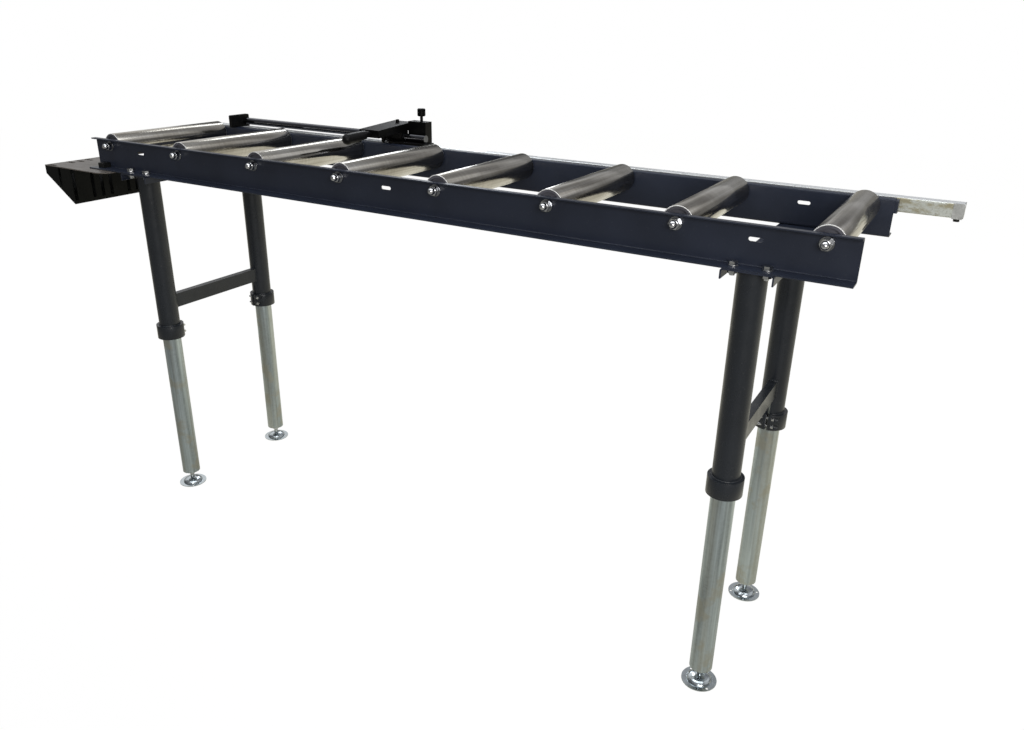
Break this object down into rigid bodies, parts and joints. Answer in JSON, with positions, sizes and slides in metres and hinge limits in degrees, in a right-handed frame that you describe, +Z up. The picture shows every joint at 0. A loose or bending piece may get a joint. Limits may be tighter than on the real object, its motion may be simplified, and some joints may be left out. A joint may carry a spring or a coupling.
{
  "type": "outfeed table",
  "caption": "Roller outfeed table with painted side rails, steel rollers, telescopic legs on levelling feet, a length stop that slides and lifts on a guide rod, and an end tray.",
  "frame": {"origin": "middle of the bounding box in X and Y, on the floor under the four foot discs", "axes": "+X along the table from the tray end to the end where the stop rail sticks out, +Y from the tray side to the length stop side, +Z up"},
  "size_m": [2.275, 0.5336, 1.129],
  "materials": {
    "rail_paint": "satin",
    "leg_paint": "satin",
    "galvanised": "satin",
    "zinc": "satin",
    "bright": "gloss",
    "roller_steel": "satin",
    "black_parts": "satin",
    "grip": "matte",
    "tray_paint": "satin",
    "tray_steel": "satin"
  },
  "bodies": {
    "table": {"front_rail": "rail_paint", "rear_rail": "rail_paint", "left_cross_channel": "rail_paint", "right_cross_channel": "rail_paint", "outer_leg_front_left": "leg_paint", "outer_leg_front_right": "leg_paint", "outer_leg_rear_left": "leg_paint", "outer_leg_rear_right": "leg_paint", "cross_bars": "leg_paint", "clamp_collars": "leg_paint", "collar_screws": "zinc", "roller_axles": "zinc", "bearing_inner_rings": "roller_steel", "axle_nuts": "zinc", "axle_washers": "bright", "leg_bolts": "zinc", "leg_nuts": "zinc", "stop_rail": "galvanised", "stop_rail_spacers": "rail_paint", "stop_rail_end_fittings": "grip", "rod_support_left": "black_parts", "rod_support_right": "black_parts", "clamp_jaw": "black_parts", "guide_rod": "bright", "tray_body": "tray_paint", "tray_plate": "tray_steel", "tray_clip": "black_parts"},
    "roller_1": {"roller_tube_1": "roller_steel", "roller_caps_1": "black_parts"},
    "roller_2": {"roller_tube_2": "roller_steel", "roller_caps_2": "black_parts"},
    "roller_3": {"roller_tube_3": "roller_steel", "roller_caps_3": "black_parts"},
    "roller_4": {"roller_tube_4": "roller_steel", "roller_caps_4": "black_parts"},
    "roller_5": {"roller_tube_5": "roller_steel", "roller_caps_5": "black_parts"},
    "roller_6": {"roller_tube_6": "roller_steel", "roller_caps_6": "black_parts"},
    "roller_7": {"roller_tube_7": "roller_steel", "roller_caps_7": "black_parts"},
    "roller_8": {"roller_tube_8": "roller_steel", "roller_caps_8": "black_parts"},
    "leg_front_left": {"inner_leg_front_left": "galvanised", "leg_insert_front_left": "zinc"},
    "leg_front_right": {"inner_leg_front_right": "galvanised", "leg_insert_front_right": "zinc"},
    "leg_rear_left": {"inner_leg_rear_left": "galvanised", "leg_insert_rear_left": "zinc"},
    "leg_rear_right": {"inner_leg_rear_right": "galvanised", "leg_insert_rear_right": "zinc"},
    "foot_front_left": {"levelling_foot_front_left": "zinc"},
    "foot_front_right": {"levelling_foot_front_right": "zinc"},
    "foot_rear_left": {"levelling_foot_rear_left": "zinc"},
    "foot_rear_right": {"levelling_foot_rear_right": "zinc"},
    "carriage": {"stop_carriage": "black_parts"},
    "arm": {"stop_arm": "black_parts", "stop_handle": "grip", "arm_screw": "black_parts"},
    "clamp_screw": {"thumb_screw": "black_parts"}
  },
  "joints": [
    {"name": "roller_1_spin", "type": "hinge", "parent": "table", "child": "roller_1", "pos_m": [-0.9305, -0.00475, 1.019], "axis": [0, 1, 0], "continuous": true},
    {"name": "roller_2_spin", "type": "hinge", "parent": "table", "child": "roller_2", "pos_m": [-0.66136, -0.00475, 1.019], "axis": [0, 1, 0], "continuous": true},
    {"name": "roller_3_spin", "type": "hinge", "parent": "table", "child": "roller_3", "pos_m": [-0.39221, -0.00475, 1.019], "axis": [0, 1, 0], "continuous": true},
    {"name": "roller_4_spin", "type": "hinge", "parent": "table", "child": "roller_4", "pos_m": [-0.12307, -0.00475, 1.019], "axis": [0, 1, 0], "continuous": true},
    {"name": "roller_5_spin", "type": "hinge", "parent": "table", "child": "roller_5", "pos_m": [0.14607, -0.00475, 1.019], "axis": [0, 1, 0], "continuous": true},
    {"name": "roller_6_spin", "type": "hinge", "parent": "table", "child": "roller_6", "pos_m": [0.41521, -0.00475, 1.019], "axis": [0, 1, 0], "continuous": true},
    {"name": "roller_7_spin", "type": "hinge", "parent": "table", "child": "roller_7", "pos_m": [0.68436, -0.00475, 1.019], "axis": [0, 1, 0], "continuous": true},
    {"name": "roller_8_spin", "type": "hinge", "parent": "table", "child": "roller_8", "pos_m": [0.9535, -0.00475, 1.019], "axis": [0, 1, 0], "continuous": true},
    {"name": "leg_front_left_extend", "type": "slide", "parent": "table", "child": "leg_front_left", "axis": [0, 0, -1], "range_m": [-0.297, 0.07]},
    {"name": "leg_front_right_extend", "type": "slide", "parent": "table", "child": "leg_front_right", "axis": [0, 0, -1], "range_m": [-0.297, 0.07]},
    {"name": "leg_rear_left_extend", "type": "slide", "parent": "table", "child": "leg_rear_left", "axis": [0, 0, -1], "range_m": [-0.297, 0.07]},
    {"name": "leg_rear_right_extend", "type": "slide", "parent": "table", "child": "leg_rear_right", "axis": [0, 0, -1], "range_m": [-0.297, 0.07]},
    {"name": "foot_front_left_level", "type": "slide", "parent": "leg_front_left", "child": "foot_front_left", "axis": [0, 0, -1], "range_m": [-0.014, 0.03]},
    {"name": "foot_front_right_level", "type": "slide", "parent": "leg_front_right", "child": "foot_front_right", "axis": [0, 0, -1], "range_m": [-0.014, 0.03]},
    {"name": "foot_rear_left_level", "type": "slide", "parent": "leg_rear_left", "child": "foot_rear_left", "axis": [0, 0, -1], "range_m": [-0.014, 0.03]},
    {"name": "foot_rear_right_level", "type": "slide", "parent": "leg_rear_right", "child": "foot_rear_right", "axis": [0, 0, -1], "range_m": [-0.014, 0.03]},
    {"name": "stop_slide", "type": "slide", "parent": "table", "child": "carriage", "axis": [-1, 0, 0], "range_m": [0, 0.54]},
    {"name": "stop_arm_lift", "type": "hinge", "parent": "carriage", "child": "arm", "pos_m": [-0.2805, 0.22275, 1.0535], "axis": [-1, 0, 0], "range_deg": [0, 88]},
    {"name": "thumb_screw_turn", "type": "hinge", "parent": "table", "child": "clamp_screw", "pos_m": [-0.213, 0.25225, 1.102], "axis": [0, 0, 1], "range_deg": [0, 360]}
  ]
}
